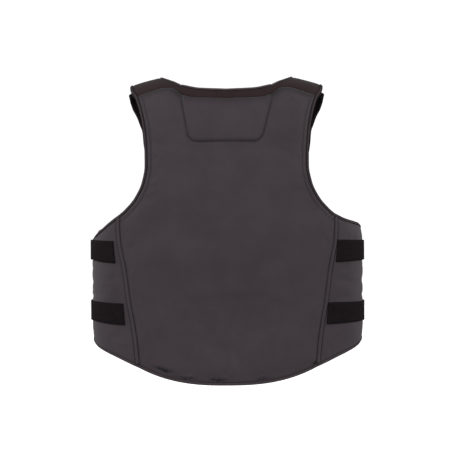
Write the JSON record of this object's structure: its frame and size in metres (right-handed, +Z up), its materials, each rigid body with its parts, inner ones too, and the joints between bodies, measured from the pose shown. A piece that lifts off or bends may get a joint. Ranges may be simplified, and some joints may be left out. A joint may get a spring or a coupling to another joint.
{
  "type": "equestrian body protector",
  "caption": "Padded riding body protector in its worn shape: curved back and front panels, side wings, shoulder yokes, a let-in neck pad and hook-and-loop side straps.",
  "frame": {"origin": "midway between the shoulders, at the level where the shoulder yokes rest on them", "axes": "+Z up, -Y out of the back, +Y out of the chest, -X to the wearer's left"},
  "size_m": [0.4934, 0.214, 0.5418],
  "materials": {
    "panel_cloth": "dull woven polyester shell over closed-cell foam, near black with a warm tint",
    "yoke_cloth": "dull woven polyester, brown-black",
    "binding_tape": "folded woven binding tape, dull",
    "strap_loop": "ribbed elastic with a looped pile, near black"
  },
  "bodies": {
    "root": {"armhole_binding_left": "binding_tape", "armhole_binding_right": "binding_tape", "back_panel": "panel_cloth", "front_armhole_binding_left": "binding_tape", "front_armhole_binding_right": "binding_tape", "front_hem_binding": "binding_tape", "front_neck_binding": "binding_tape", "front_panel": "panel_cloth", "front_shoulder_left": "strap_loop", "front_shoulder_right": "strap_loop", "hem_binding": "binding_tape", "neck_band": "yoke_cloth", "neck_binding": "binding_tape", "neck_pad": "panel_cloth", "seam_welt_left": "binding_tape", "seam_welt_right": "binding_tape", "shoulder_yoke_left": "yoke_cloth", "shoulder_yoke_right": "yoke_cloth", "side_wing_left": "panel_cloth", "side_wing_right": "panel_cloth", "strap_lower_left": "strap_loop", "strap_lower_right": "strap_loop", "strap_upper_left": "strap_loop", "strap_upper_right": "strap_loop"}
  },
  "joints": []
}
